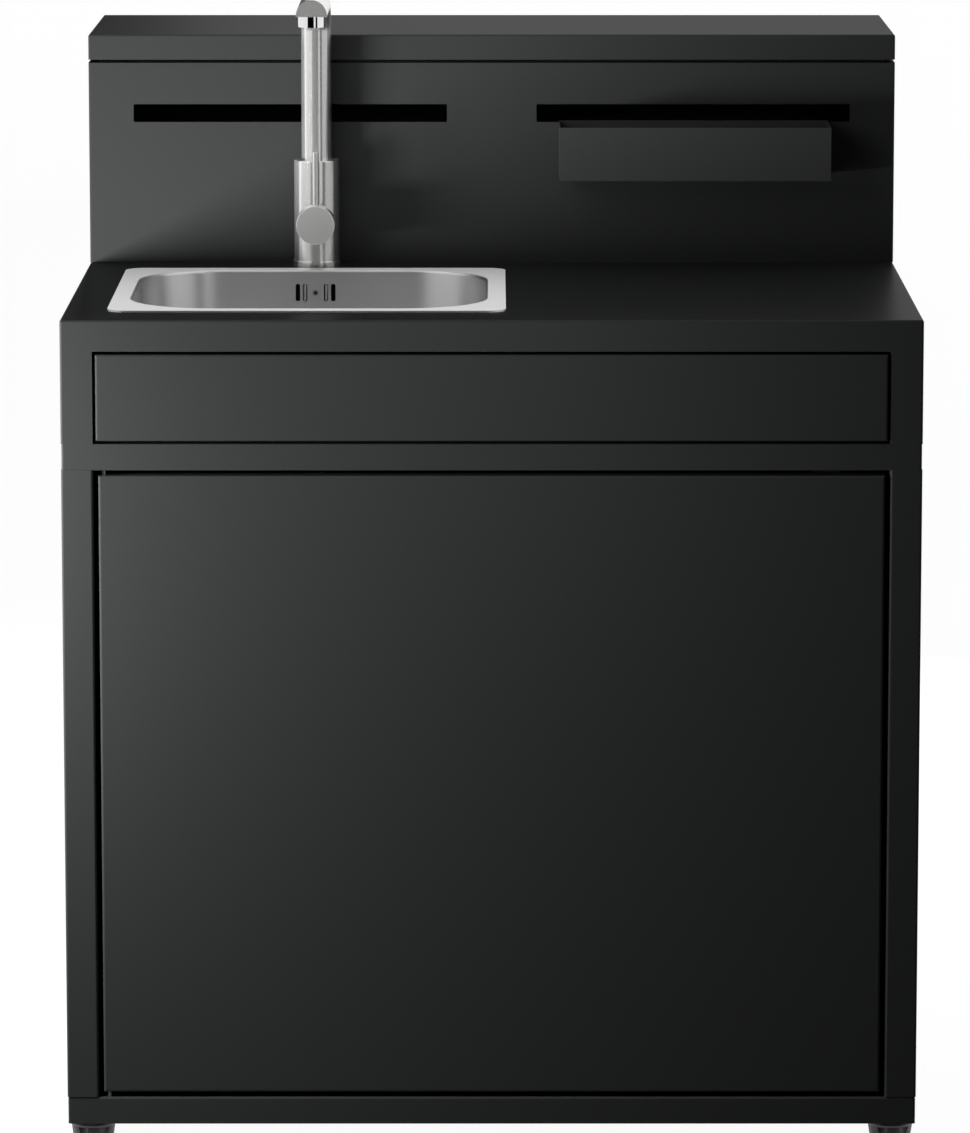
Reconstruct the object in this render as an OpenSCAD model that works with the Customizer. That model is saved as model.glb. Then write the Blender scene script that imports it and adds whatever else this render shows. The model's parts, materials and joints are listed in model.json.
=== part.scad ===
// Outdoor sink unit: a folded sheet-steel cabinet with a flush door, a worktop module with a pressed sink and
// a single-lever tap, and a hollow backsplash box with a lid and two hanging slots.
// Front faces -Y, width runs along X, and the origin is on the floor under the centre of the unit.

/* [Unit] */
// Overall width
unit_w = 900; // [860:10:1200]
// Depth from the front face to the back
unit_d = 800; // [780:5:900]
// Height of the worktop above the floor
worktop_z = 890; // [840:5:960]
// Thickness of the folded steel sheet
sheet = 1.5; // [1:0.25:2]
// Outer radius of a bend in the sheet
bend_r = 2.5; // [2.25:0.25:4]

/* [Lower cabinet] */
// Height of the levelling feet under the base tray
foot_h = 30.5; // [24:0.5:45]
// Diameter of a levelling foot
foot_d = 50; // [40:1:60]
// Height of the base tray
base_h = 29; // [26:0.5:40]
// Height of the mid frame
mid_h = 27.5; // [20:0.5:40]
// How far the base tray and the mid frame stand back from the side panels
bar_inset = 0.6; // [0.2:0.1:2]
// Width of the folded stiles beside the door
stile_w = 33.5; // [28:0.5:45]
// Depth of the folded return behind a stile
return_w = 20; // [16:1:30]
// Width of the lip at the end of a return
lip_w = 14; // [12:1:18]
// Width of the flanges of the mid frame
frame_w = 45; // [40:1:60]
// How far the back panel stands in from the back
void_d = 50; // [45:1:80]

/* [Door] */
// Thickness of the door
door_t = 20; // [16:1:26]
// Gap between the door and each stile
door_gap = 5.5; // [4:0.25:8]
// Gap above and below the door
door_gap_z = 5.75; // [4:0.25:8]
// Diameter of the pivot pins
pivot_d = 4; // [3:0.5:4]
// Distance of the pivot from the edge of the door
pivot_in = 5.5; // [5.5:0.25:8]
// Distance of the pivot behind the front face
pivot_back = 6; // [6:0.25:8]

/* [Worktop module] */
// Height of the module from its lower edge to the worktop
module_h = 130.5; // [115:0.5:170]
// Height of the apron above the front panel
apron_h = 33; // [25:0.5:45]
// Gap around the front panel
panel_gap = 3; // [1.5:0.25:5]

/* [Backsplash] */
// Gap between the tap's base ring and the backsplash
splash_gap = 0.85; // [0.35:0.05:3]
// Height of the box under the lid
splash_h = 224; // [205:1:240]
// Shadow gap between the box and its lid
lid_gap = 3.5; // [3.3:0.1:6]
// Height of the lid
lid_h = 28; // [24:1:40]
// Length of a hanging slot
slot_w = 350; // [340:5:380]
// Height of a hanging slot
slot_h = 20; // [18:1:26]
// Distance of each slot's centre from the middle of the unit
slot_x = 225; // [205:1:240]
// Height of the slots' lower edge above the worktop
slot_z = 157.8; // [145:0.1:165]

/* [Hanging box] */
// Width of the hanging box
tub_w = 300; // [240:5:320]
// Depth of the hanging box
tub_d = 85; // [60:1:110]
// Height of the hanging box
tub_h = 59; // [40:1:90]

/* [Sink] */
// Distance of the sink's centre from the middle of the unit, to the left
sink_x = 195; // [190:1:205]
// Width of the sink's rim
sink_w = 420; // [410:1:430]
// Depth of the sink's rim
sink_d = 380; // [360:1:400]
// Distance from the front face to the rim
sink_setback = 63.5; // [58:0.5:70]
// Width of the flat flange round the bowl
flange_w = 22; // [20:0.5:24]
// Radius of the rim's outer corners
rim_r = 20; // [14:1:24]
// Radius of the bowl's corners
bowl_r = 90; // [60:1:95]
// Radius between the bowl's wall and floor
floor_r = 25; // [15:1:35]
// Radius of the edge between the flange and the bowl
edge_r = 3; // [2:0.5:4]
// Depth of the bowl below the rim
bowl_h = 150; // [130:1:155]
// Thickness of the pressed steel
bowl_t = 1; // [0.8:0.1:1.2]
// Height of the rim above the worktop
rim_h = 2; // [1.8:0.1:3]

/* [Waste] */
// Inside diameter of the waste cup
waste_d = 86.6; // [80:0.2:92]
// Depth of the waste cup
waste_h = 42; // [38:1:48]
// Diameter of the waste pipe
pipe_d = 40; // [36:1:44]
// Height of the trap's cup
trap_h = 72; // [55:1:90]

/* [Tap] */
// Distance from the sink's rim back to the tap's axis
tap_gap = 41; // [38:0.5:50]
// Diameter of the tap's base ring
ring_d = 53.3; // [52:0.1:54.5]
// Height of the base ring
ring_h = 7; // [5:0.5:10]
// Diameter of the tap's body
body_d = 50.4; // [47:0.1:51]
// Height of the body's top above the worktop
body_top = 119; // [110:1:135]
// Diameter of the spout tube
spout_d = 33.5; // [31:0.5:35]
// Height of the spout's arm above the worktop, on its axis
arm_z = 293; // [285:1:330]
// Reach of the spout from the tap's axis
spout_l = 180; // [150:1:220]
// Radius of the spout's bend on its axis
spout_bend = 30; // [26:1:45]
// Diameter of the aerator
aerator_d = 32; // [28:0.5:32]
// Height of the handle's axis above the worktop
hub_z = 51.5; // [45:0.5:60]
// Diameter of the handle cap
hub_d = 42.6; // [38:0.2:44]
// Height of the lever pin's top above the worktop
lever_top = 132; // [110:1:140]
// Diameter of the lever pin
lever_d = 7; // [5:0.5:9]

/* [Hidden] */
$fn = 64;
fit_gap = 0.08;       // radial clearance of a shaft in its bore
run_gap = 0.3;        // clearance between pieces that move past each other
eps = 1;              // how far a cut runs past the face that it opens

front_y = -unit_d / 2;
back_y = unit_d / 2;
side_x = unit_w / 2;
base_top = foot_h + base_h;
module_z = worktop_z - module_h;
mid_z = module_z - mid_h;
opening_x = side_x - stile_w;

foot_x = side_x - foot_d / 2 - bar_inset;
foot_y = unit_d / 2 - foot_d / 2 - bar_inset;
stem_r = 5;
insert_r = 10;

door_x = opening_x - door_gap;
door_z0 = base_top + door_gap_z;
door_z1 = mid_z - door_gap_z;
pivot_x = -door_x + pivot_in;
pivot_y = front_y + pivot_back;
pivot_r = pivot_d / 2;
pivot_head = 2;
bush_h = 14;
bush_r = pivot_in - sheet - 0.1;
liner_t = 1;
latch_x = door_x - 60;
latch_h = 18;
strike_t = 1.5;
plunger_r = 5;

panel_x = opening_x - panel_gap;
panel_z0 = module_z + panel_gap;
panel_z1 = worktop_z - apron_h - panel_gap;
screw_r = 2.5;
screw_head = 4.5;
lug_drop = 20;        // distance of a lug screw from the panel's end

tap_y = front_y + sink_setback + sink_d + tap_gap;
splash_y = tap_y + ring_d / 2 + splash_gap;
splash_top = worktop_z + splash_h;
lid_z0 = splash_top + lid_gap;
lid_z1 = lid_z0 + lid_h;
upstand_in = 12;       // how far the upstand under the lid stands in from the box
mouth_w = 14;
buffer_h = 4;
mouth_z = lid_z1 - sheet - run_gap - buffer_h;
knuckle_r = 3;
knuckle_l = 18;
knuckles = 5;
hinge_x = unit_w / 3;
hinge_y = back_y - knuckle_r;
hinge_z = lid_z0;
hinge_pin_r = 1.3;
leaf_t = 1.2;
leaf_h = 22;
lid_back = back_y - 2 * knuckle_r - run_gap;

hook_gap = 0.2;       // clearance under and behind the hanging box's hook
hook_h = 14;
tub_top = worktop_z + slot_z + hook_gap + sheet;
tub_back = splash_y - run_gap;

sink_cx = -sink_x;
sink_y = front_y + sink_setback + sink_d / 2;
rim_z = worktop_z + rim_h;
bowl_w = sink_w - 2 * flange_w;
bowl_d = sink_d - 2 * flange_w;
floor_z = rim_z - bowl_h;
seat_w = 10;          // how far the rim lies over the worktop
lip_t = 1.5;
clip_arm = 20;
clip_drop = 24;
clip_x = 80;
clip_y = 60;
bowl_back = sink_y + bowl_d / 2 + bowl_t;
overflow_z = rim_z - 25;
overflow_slot = [5, 19.5];
overflow_gaps = [-19.6, -11.6, 11.6, 19.6];
overflow_d = 24;
overflow_mid = 12.5;   // distance of the housing's neck behind the bowl
overflow_w = 56;
overflow_h = 34;

waste_r = waste_d / 2;
waste_wall = 1.2;
waste_lip = 12;
stem_d = 8;
neck_r = 23.5;
neck_bore = 19;
neck_h = 24;
seal_t = 2.5;
clamp_t = 9;
port_r = 9;
port_z = floor_z - 30;
port_y = waste_r + 13;
cup_z = floor_z - waste_h;
neck_z = cup_z - neck_h;
trap_r = 34;
trap_wall = 3;
trap_top = neck_z;
trap_low = neck_z - 54;
pipe_r = pipe_d / 2;
pipe_wall = 2;
pipe_drop = 24;
pipe_z = trap_top - pipe_drop;
pipe_end = back_y - 12;
outlet_l = 24;
outlet_y = trap_r + outlet_l;

spout_r = spout_d / 2;
spout_wall = 2.75;
socket_r = spout_r - 1.75;
socket_h = 28;
shank_r = 16;
shank_bore = 12;
shank_h = 45;
tail_x = 6;
hose_r = 5;
hose_drop = 300;      // how strongly a hose is drawn straight down at the tap
hose_lead = 170;      // how strongly it is drawn level at its inlet
hose_side = 25;
neck_out = 32;        // how far the handle's neck reaches forward
neck_seat = 18;       // where it starts, inside the tap's body
neck_r_out = 12;
stem_rod = 7;
ball_r = 11;
ball_y = 44;          // distance of the handle's tilt axis in front of the tap's axis
cap_y0 = 37;
cap_y1 = 63;
cap_wall = 2.8;
cap_front = 4;
lever_y = 50;

panel_y = back_y - void_d;
inlet_dx = 60;
inlet_z = floor_z - 142;
thread_r = 13.2;
thread_l = 16;
tail_l = 50;
ferrule_l = 25;

steel = "#26282a";
stainless = "#b4b5b4";
plastic = "#1c1d1e";

// Shared shapes

// Block between two opposite corners
module block(lo, hi) {
    translate(lo) cube(hi - lo);
}

// Rectangle with round corners, centred
module round_rect(w, d, r) {
    square([w - 2 * r, d], center = true);
    square([w, d - 2 * r], center = true);
    for (x = [-1, 1], y = [-1, 1]) translate([x * (w / 2 - r), y * (d / 2 - r)]) circle(r);
}

// Upright block with round vertical edges, centred in plan
module post(w, d, r, z0, z1) {
    translate([0, 0, z0]) linear_extrude(z1 - z0) round_rect(w, d, r);
}

// Rectangle on the X axis whose two far corners are round
module arch(w, h, r) {
    translate([-w / 2, 0]) square([w, h - r]);
    translate([-w / 2 + r, 0]) square([w - 2 * r, h]);
    for (x = [-1, 1]) translate([x * (w / 2 - r), h - r]) circle(r);
}

// Block whose vertical edges and top edges are bent round, from y0 to y1
module cowl(w, y0, y1, z0, z1, r) {
    d = y1 - y0;
    h = z1 - z0;
    translate([0, (y0 + y1) / 2, 0]) intersection() {
        post(w, d, r, z0, z1);
        translate([0, d, z0]) rotate([90, 0, 0]) linear_extrude(2 * d) arch(w, h, r);
        translate([-w, 0, z0]) rotate([90, 0, 90]) linear_extrude(2 * w) arch(d, h, r);
    }
}

// Folded sheet in section: straight runs joined by left-hand bends, starting along +X
module folded(runs, i = 0) {
    square([runs[i], sheet]);
    if (i < len(runs) - 1) {
        translate([runs[i], bend_r]) intersection() {
            difference() {
                circle(bend_r);
                circle(bend_r - sheet);
            }
            translate([0, -bend_r]) square(bend_r);
        }
        translate([runs[i] + bend_r, bend_r]) rotate(90) folded(runs, i + 1);
    }
}

// Upright tube
module pipe(r_out, r_in, z0, z1) {
    translate([0, 0, z0]) difference() {
        cylinder(r = r_out, h = z1 - z0);
        translate([0, 0, -eps]) cylinder(r = r_in, h = z1 - z0 + 2 * eps);
    }
}

// Turns children drawn along +Z so that they run along +Y
module along_y() {
    rotate([-90, 0, 0]) children();
}

// Pan-head screw along +Z: head above z = 0, shank below
module screw(shank) {
    cylinder(r = screw_head, h = 2.4);
    translate([0, 0, -shank]) cylinder(r = screw_r - 0.1, h = shank);
}

// Both sides of the unit from the left one
module both_sides() {
    children();
    mirror([1, 0, 0]) children();
}

// Form swept round a rounded rectangle from a profile whose x = 0 is the corner's centre
module dish(w, d, r, z0, z1) {
    cw = w - 2 * r;
    cd = d - 2 * r;
    for (x = [-1, 1], y = [-1, 1]) translate([x * cw / 2, y * cd / 2, 0]) rotate_extrude() children();
    for (s = [0, 180]) rotate([0, 0, s]) {
        translate([cw / 2, cd / 2, 0]) rotate([90, 0, 0]) linear_extrude(cd) children();
        translate([-cw / 2, cd / 2, 0]) rotate([90, 0, 90]) linear_extrude(cw) children();
    }
    translate([-cw / 2, -cd / 2, z0]) cube([cw, cd, z1 - z0]);
}

// Wall profile of the bowl: straight side, round floor edge and flared mouth
module bowl_profile(h, r, low_r, flare) {
    translate([0, -h + low_r]) square([r, h - low_r]);
    translate([0, -h]) square([r - low_r, low_r]);
    translate([r - low_r, -h + low_r]) circle(low_r);
    difference() {
        translate([0, -flare]) square([r + flare, flare]);
        translate([r + flare, -flare]) circle(flare);
    }
}

// Tube along a route

function unit(v) = v / norm(v);
function bezier(p, t) = p[0] * pow(1 - t, 3) + 3 * p[1] * t * pow(1 - t, 2)
    + 3 * p[2] * t * t * (1 - t) + p[3] * pow(t, 3);
function route(p, n) = [for (i = [0 : n]) bezier(p, i / n)];
function heading(pts, i) = unit(pts[min(i + 1, len(pts) - 1)] - pts[max(i - 1, 0)]);
function ring(c, dir, r, sides) =
    let (u = unit(cross([1, 0, 0], dir)), v = cross(dir, u))
    [for (k = [0 : sides - 1]) c + r * (cos(360 * k / sides) * u + sin(360 * k / sides) * v)];
function skin(n, sides, first, out) = [
    for (i = [0 : n - 2], k = [0 : sides - 1])
        let (a = first + i * sides + k, b = first + i * sides + (k + 1) % sides, c = a + sides, d = b + sides)
        each (out ? [[a, c, b], [b, c, d]] : [[a, b, c], [b, d, c]])
];
function fan(first, sides, flip) = [
    for (k = [1 : sides - 2]) flip ? [first, first + k + 1, first + k] : [first, first + k, first + k + 1]
];
function washer(outer, inner, sides, flip) = [
    for (k = [0 : sides - 1])
        let (a = outer + k, b = outer + (k + 1) % sides, c = inner + k, d = inner + (k + 1) % sides)
        each (flip ? [[a, c, b], [b, c, d]] : [[a, b, c], [b, d, c]])
];

// Solid round hose
module hose(pts, r, sides) {
    n = len(pts);
    rings = [for (i = [0 : n - 1]) each ring(pts[i], heading(pts, i), r, sides)];
    polyhedron(rings, concat(skin(n, sides, 0, true), fan(0, sides, false), fan((n - 1) * sides, sides, true)));
}

// Ribbed hose with its bore: plain for the first and last rings
module ribbed_hose(pts, r_low, r_high, r_bore, sides) {
    n = len(pts);
    outer = [
        for (i = [0 : n - 1])
            each ring(pts[i], heading(pts, i), i < 3 || i > n - 4 || i % 2 == 0 ? r_low : r_high, sides)
    ];
    inner = [for (i = [0 : 4 : n - 1]) each ring(pts[i], heading(pts, i), r_bore, sides)];
    m = len(inner) / sides;
    o = len(outer);
    polyhedron(concat(outer, inner), concat(
        skin(n, sides, 0, true), skin(m, sides, o, false),
        washer(0, o, sides, false), washer((n - 1) * sides, o + (m - 1) * sides, sides, true)
    ));
}

// Cabinet

module base_tray() {
    w = unit_w - 2 * bar_inset;
    d = unit_d - 2 * bar_inset;
    lip = 12;
    color(steel) difference() {
        cowl(w, -d / 2, d / 2, foot_h, base_top, bend_r);
        block([-w / 2 + sheet, -d / 2 + sheet, foot_h + sheet],
            [w / 2 - sheet, d / 2 - sheet, base_top - sheet]);
        block([-w / 2 + lip, -d / 2 + lip, foot_h - eps], [w / 2 - lip, d / 2 - lip, foot_h + 2 * sheet]);
        translate([pivot_x, pivot_y, foot_h]) cylinder(r = pivot_r + 0.1, h = base_h + eps);
    }
}

module at_feet() {
    for (x = [-1, 1], y = [-1, 1]) translate([x * foot_x, y * foot_y, 0]) children();
}

module foot_inserts() {
    color(stainless) at_feet() pipe(insert_r, stem_r + fit_gap, foot_h, base_top - sheet);
}

// Moulded foot with finger flutes round its tapered side, and a stem that goes up into its insert
module foot() {
    r = foot_d / 2;
    rim = foot_h - 5;
    flutes = 6;
    color(plastic) {
        difference() {
            rotate_extrude() polygon([
                [0, 0], [r - 7, 0], [r - 5, 2], [r - 1.2, rim], [r, foot_h - 3],
                [r, foot_h - 0.8], [r - 0.8, foot_h], [0, foot_h]
            ]);
            for (k = [0 : flutes - 1]) rotate([0, 0, k * 360 / flutes + 6]) translate([r + 9, 0, -eps])
                cylinder(r = 12.4, h = rim - 0.5 + eps);
        }
        translate([0, 0, foot_h - eps]) cylinder(r = stem_r, h = base_h - sheet - 2 + eps);
    }
}

module foot_front_left() {
    translate([-foot_x, -foot_y, 0]) foot();
}

module foot_front_right() {
    translate([foot_x, -foot_y, 0]) foot();
}

module foot_back_left() {
    translate([-foot_x, foot_y, 0]) foot();
}

module foot_back_right() {
    translate([foot_x, foot_y, 0]) foot();
}

// Folded side: rear flange, outer wall, stile, return and lip in one sheet
module side_panel() {
    rear_w = 20;
    runs = [rear_w - bend_r, unit_d - 2 * bend_r, stile_w - 2 * bend_r, return_w - 2 * bend_r, lip_w - bend_r];
    color(steel) translate([-side_x + rear_w, back_y, base_top]) rotate(180)
        linear_extrude(mid_z - base_top) folded(runs);
}

module side_panel_left() {
    side_panel();
}

module side_panel_right() {
    mirror([1, 0, 0]) side_panel();
}

back_flange = 20;
back_screw_z = [for (k = [0 : 4]) base_top + 40 + k * (mid_z - base_top - 80) / 4];

// Back panel: a shallow tray between the side panels, with holes for the waste pipe and the inlets
module back_panel() {
    x = side_x - sheet;
    color(steel) difference() {
        block([-x, panel_y - back_flange, base_top], [x, panel_y, mid_z]);
        block([-x + sheet, panel_y - back_flange - eps, base_top + sheet],
            [x - sheet, panel_y - sheet, mid_z - sheet]);
        translate([sink_cx, panel_y - 2 * sheet, pipe_z]) along_y() cylinder(r = pipe_r + 4, h = 4 * sheet);
        at_inlets() translate([0, -2 * sheet, 0]) along_y() cylinder(r = thread_r - 3, h = 4 * sheet);
        for (s = [-1, 1], z = back_screw_z) translate([s * x, panel_y - back_flange / 2, z])
            rotate([0, 90, 0]) translate([0, 0, -5]) cylinder(r = screw_r, h = 10);
    }
}

module back_panel_screws() {
    color(stainless) both_sides() for (z = back_screw_z)
        translate([-side_x + 2 * sheet, panel_y - back_flange / 2, z]) rotate([0, 90, 0]) screw(sheet);
}

// Mid frame: a ring of inward channels that ties the sides together and carries the worktop module
module mid_frame() {
    w = unit_w - 2 * bar_inset;
    d = unit_d - 2 * bar_inset;
    color(steel) difference() {
        post(w, d, bend_r, mid_z, module_z);
        block([-w / 2 + sheet, -d / 2 + sheet, mid_z + sheet],
            [w / 2 - sheet, d / 2 - sheet, module_z - sheet]);
        post(w - 2 * frame_w, d - 2 * frame_w, bend_r, mid_z - eps, module_z + eps);
        translate([pivot_x, pivot_y, mid_z - eps]) cylinder(r = pivot_r + 0.1, h = sheet + 2 * eps);
    }
}

// Door

// Pivot pin: shank from z = 0 down, head above
module pivot_pin(shank) {
    translate([0, 0, -shank]) cylinder(r = pivot_r, h = shank);
    cylinder(r = pivot_back - bar_inset - sheet - 0.1, h = pivot_head);
}

pin_reach = sheet + door_gap_z + sheet + bush_h - 2;

module upper_pivot_pin() {
    color(stainless) translate([pivot_x, pivot_y, mid_z + sheet]) pivot_pin(pin_reach);
}

module lower_pivot_pin() {
    color(stainless) translate([pivot_x, pivot_y, base_top - sheet]) mirror([0, 0, 1]) pivot_pin(pin_reach);
}

// Tray seen from the front, with bent edges: face at y = front_y
module front_tray(x, z0, z1, depth) {
    difference() {
        translate([0, front_y + depth, (z0 + z1) / 2]) rotate([0, 0, 180]) rotate([-90, 0, 0])
            tray_blank(2 * x, z1 - z0, depth);
        block([-x + sheet, front_y + sheet, z0 + sheet], [x - sheet, front_y + depth + eps, z1 - sheet]);
    }
}

// Blank of a tray: rounded along all four front edges
module tray_blank(w, h, depth) {
    intersection() {
        linear_extrude(depth) square([w, h], center = true);
        translate([0, h, 0]) rotate([90, 0, 0]) linear_extrude(2 * h) arch(w, depth, bend_r);
        translate([-w, 0, 0]) rotate([90, 0, 90]) linear_extrude(2 * w) arch(h, depth, bend_r);
    }
}

module door_panel() {
    edge = 10;
    tray_d = door_t - liner_t;
    y1 = front_y + tray_d;
    color(steel) {
        difference() {
            front_tray(door_x, door_z0, door_z1, tray_d);
            for (z = [door_z0, door_z1]) translate([pivot_x, pivot_y, z - 2 * sheet])
                cylinder(r = pivot_r + 0.6, h = 4 * sheet);
        }
        difference() {
            block([-door_x + sheet, y1 - sheet, door_z0 + sheet], [door_x - sheet, y1, door_z1 - sheet]);
            block([-door_x + edge, y1 - 2 * sheet, door_z0 + edge], [door_x - edge, y1 + eps, door_z1 - edge]);
        }
    }
}

module door_liner() {
    y1 = front_y + door_t;
    color(steel) block([-door_x, y1 - liner_t, door_z0], [door_x, y1, door_z1]);
}

module door_bushes() {
    color(plastic) translate([pivot_x, pivot_y, 0]) {
        pipe(bush_r, pivot_r + 0.05, door_z1 - sheet - bush_h, door_z1 - sheet);
        pipe(bush_r, pivot_r + 0.05, door_z0 + sheet, door_z0 + sheet + bush_h);
    }
}

module strike_plate() {
    y = front_y + door_t;
    z = mid_z - latch_h / 2;
    color(stainless) block([latch_x - 15, y, door_z1 - 22], [latch_x + 15, y + strike_t, door_z1 - 2]);
}

// Push latch under the mid frame, with its sprung plunger
latch_y = front_y + door_t + strike_t + 6;
latch_z = mid_z - 12;

module latch_body() {
    color(plastic) difference() {
        union() {
            block([latch_x - 14, latch_y, mid_z - 22], [latch_x + 14, latch_y + 62, mid_z - 2]);
            block([latch_x - 22, latch_y, mid_z - 2], [latch_x + 22, latch_y + 40, mid_z]);
        }
        translate([latch_x, latch_y - eps, latch_z]) along_y() cylinder(r = plunger_r + fit_gap, h = 46);
    }
}

module latch_plunger() {
    tip = front_y + door_t + strike_t + run_gap;
    color(stainless) translate([latch_x, tip, latch_z]) along_y() cylinder(r = plunger_r, h = 42);
}

// Worktop module

// Welded shell: worktop, apron, walls, stiles with their returns, and the sink and tap holes
module worktop_module() {
    cut_w = sink_w - 2 * seat_w;
    cut_d = sink_d - 2 * seat_w;
    apron_z = worktop_z - apron_h;
    inner_y = front_y + return_w;
    color(steel) difference() {
        union() {
            difference() {
                cowl(unit_w, front_y, back_y, module_z, worktop_z, bend_r);
                block([-side_x + sheet, front_y + sheet, module_z - eps],
                    [side_x - sheet, back_y - sheet, worktop_z - sheet]);
            }
            both_sides() {
                block([-opening_x - sheet, front_y, module_z], [-opening_x, inner_y, apron_z + sheet]);
                block([-opening_x - lip_w, inner_y - sheet, module_z], [-opening_x, inner_y, apron_z + sheet]);
            }
            block([-opening_x, front_y, apron_z], [opening_x, inner_y, apron_z + sheet]);
        }
        block([-opening_x, front_y - eps, module_z - eps], [opening_x, inner_y + eps, apron_z]);
        translate([sink_cx, sink_y, 0]) post(cut_w, cut_d, rim_r, worktop_z - 2 * sheet, worktop_z + eps);
        translate([sink_cx, tap_y, worktop_z - 2 * sheet]) cylinder(r = shank_r + 1.5, h = 4 * sheet);
        lug_holes();
    }
}

module lug_holes() {
    both_sides() for (z = [panel_z0 + lug_drop, panel_z1 - lug_drop])
        translate([-opening_x - lip_w / 2, front_y + return_w, z])
            along_y() translate([0, 0, -5]) cylinder(r = screw_r, h = 10);
}

// Blank front panel, held by four lugs behind the stiles
module front_panel() {
    y = front_y + return_w;
    lug = 11;
    color(steel) difference() {
        union() {
            front_tray(panel_x, panel_z0, panel_z1, return_w);
            both_sides() for (z = [panel_z0 + lug_drop, panel_z1 - lug_drop])
                block([-opening_x - lip_w, y, z - lug], [-panel_x + 12, y + sheet, z + lug]);
        }
        lug_holes();
    }
}

module front_panel_screws() {
    y = front_y + return_w + sheet;
    color(stainless) both_sides() for (z = [panel_z0 + lug_drop, panel_z1 - lug_drop])
        translate([-opening_x - lip_w / 2, y, z]) along_y() screw(2 * sheet);
}

// Backsplash

// Front and sides of the box with the hanging slots, the joggled upstand and the folded mouth
module backsplash_shell() {
    y1 = back_y - sheet;
    up_x = side_x - upstand_in;
    up_y = splash_y + upstand_in;
    up_y1 = lid_back - 2 * sheet;
    foot_w = 15;
    color(steel) difference() {
        union() {
            box_ring(side_x, splash_y, y1, worktop_z, splash_top, sheet);
            box_ring(side_x - sheet / 2, splash_y + sheet / 2, y1, splash_top - sheet, splash_top, upstand_in);
            box_ring(up_x, up_y, up_y1, splash_top - sheet, mouth_z, sheet);
            box_ring(up_x, up_y, up_y1, mouth_z - sheet, mouth_z, mouth_w);
            box_ring(side_x - sheet / 2, splash_y + sheet / 2, y1, worktop_z, worktop_z + sheet, foot_w);
        }
        for (s = [-1, 1]) translate([s * slot_x, splash_y + 3 * sheet, worktop_z + slot_z + slot_h / 2])
            rotate([90, 0, 0]) linear_extrude(5 * sheet) round_rect(slot_w, slot_h, 1.5);
    }
}

// Three-sided wall, open at the back, with bent front corners
module box_ring(x, y0, y1, z0, z1, wall) {
    difference() {
        translate([0, y1, z0]) rotate([0, 0, 180]) linear_extrude(z1 - z0) arch(2 * x, y1 - y0, bend_r);
        block([-x + wall, y0 + wall, z0 - eps], [x - wall, y1 + eps, z1 + eps]);
    }
}

module backsplash_back() {
    color(steel) block([-side_x, back_y - sheet, worktop_z], [side_x, back_y, splash_top]);
}

module lid_buffers() {
    y = splash_y + upstand_in + mouth_w / 2;
    color(plastic) for (x = [-1, 1]) translate([x * side_x * 0.8, y, mouth_z]) cylinder(r = 5, h = buffer_h);
}

// Lid: a shallow inverted tray with bent edges
module lid() {
    color(steel) difference() {
        cowl(unit_w, splash_y, lid_back, lid_z0, lid_z1, bend_r);
        block([-side_x + sheet, splash_y + sheet, lid_z0 - eps],
            [side_x - sheet, lid_back - sheet, lid_z1 - sheet]);
    }
}

// Knuckles of one hinge: every second one, from the first given
module knuckle_row(first, r_bore) {
    for (k = [first : 2 : knuckles - 1]) translate([(k - knuckles / 2) * knuckle_l, 0, 0])
        rotate([0, 90, 0]) pipe(knuckle_r, r_bore, run_gap / 2, knuckle_l - run_gap / 2);
}

// Clearances cut into a leaf beside the other leaf's knuckles
module knuckle_cuts(first) {
    for (k = [first : 2 : knuckles - 1]) translate([(k - knuckles / 2) * knuckle_l, 0, 0])
        rotate([0, 90, 0]) translate([0, 0, -run_gap / 2])
            cylinder(r = knuckle_r + run_gap, h = knuckle_l + run_gap);
}

module at_hinges() {
    for (x = [-1, 1]) translate([x * hinge_x, hinge_y, hinge_z]) children();
}

module lid_hinge_fixed() {
    half = knuckles * knuckle_l / 2;
    y1 = back_y - sheet - hinge_y;
    color(stainless) at_hinges() {
        knuckle_row(0, hinge_pin_r / 2);
        translate([-half, 0, 0]) rotate([0, 90, 0]) cylinder(r = hinge_pin_r, h = 2 * half);
        difference() {
            block([-half + run_gap / 2, y1 - leaf_t, -leaf_h], [half - run_gap / 2, y1, 0]);
            knuckle_cuts(1);
        }
    }
}

module lid_hinge_moving() {
    half = knuckles * knuckle_l / 2;
    y0 = lid_back - hinge_y;
    color(stainless) at_hinges() difference() {
        union() {
            knuckle_row(1, hinge_pin_r / 2);
            difference() {
                block([-half, y0, 0.5], [half, y0 + leaf_t, leaf_h]);
                knuckle_cuts(0);
            }
        }
        translate([-half - eps, 0, 0]) rotate([0, 90, 0])
            cylinder(r = hinge_pin_r + 0.06, h = 2 * half + 2 * eps);
    }
}

// Hanging box

module hanging_box() {
    x0 = slot_x - tub_w / 2;
    x1 = slot_x + tub_w / 2;
    y0 = tub_back - tub_d;
    z0 = tub_top - tub_h;
    hook_y = splash_y + sheet + hook_gap;
    color(steel) {
        difference() {
            block([x0, y0, z0], [x1, tub_back, tub_top]);
            block([x0 + sheet, y0 + sheet, z0 + sheet], [x1 - sheet, tub_back - sheet, tub_top + eps]);
        }
        block([x0, tub_back - sheet, tub_top - sheet], [x1, hook_y + sheet, tub_top]);
        block([x0, hook_y, tub_top - hook_h], [x1, hook_y + sheet, tub_top]);
    }
}

// Sink

module at_sink() {
    translate([sink_cx, sink_y, 0]) children();
}

module overflow_slots(deep) {
    for (x = overflow_gaps) translate([x, bowl_d / 2 - deep, overflow_z]) along_y() linear_extrude(2 * deep)
        round_rect(overflow_slot[0], overflow_slot[1], overflow_slot[0] / 2 - 0.2);
}

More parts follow.
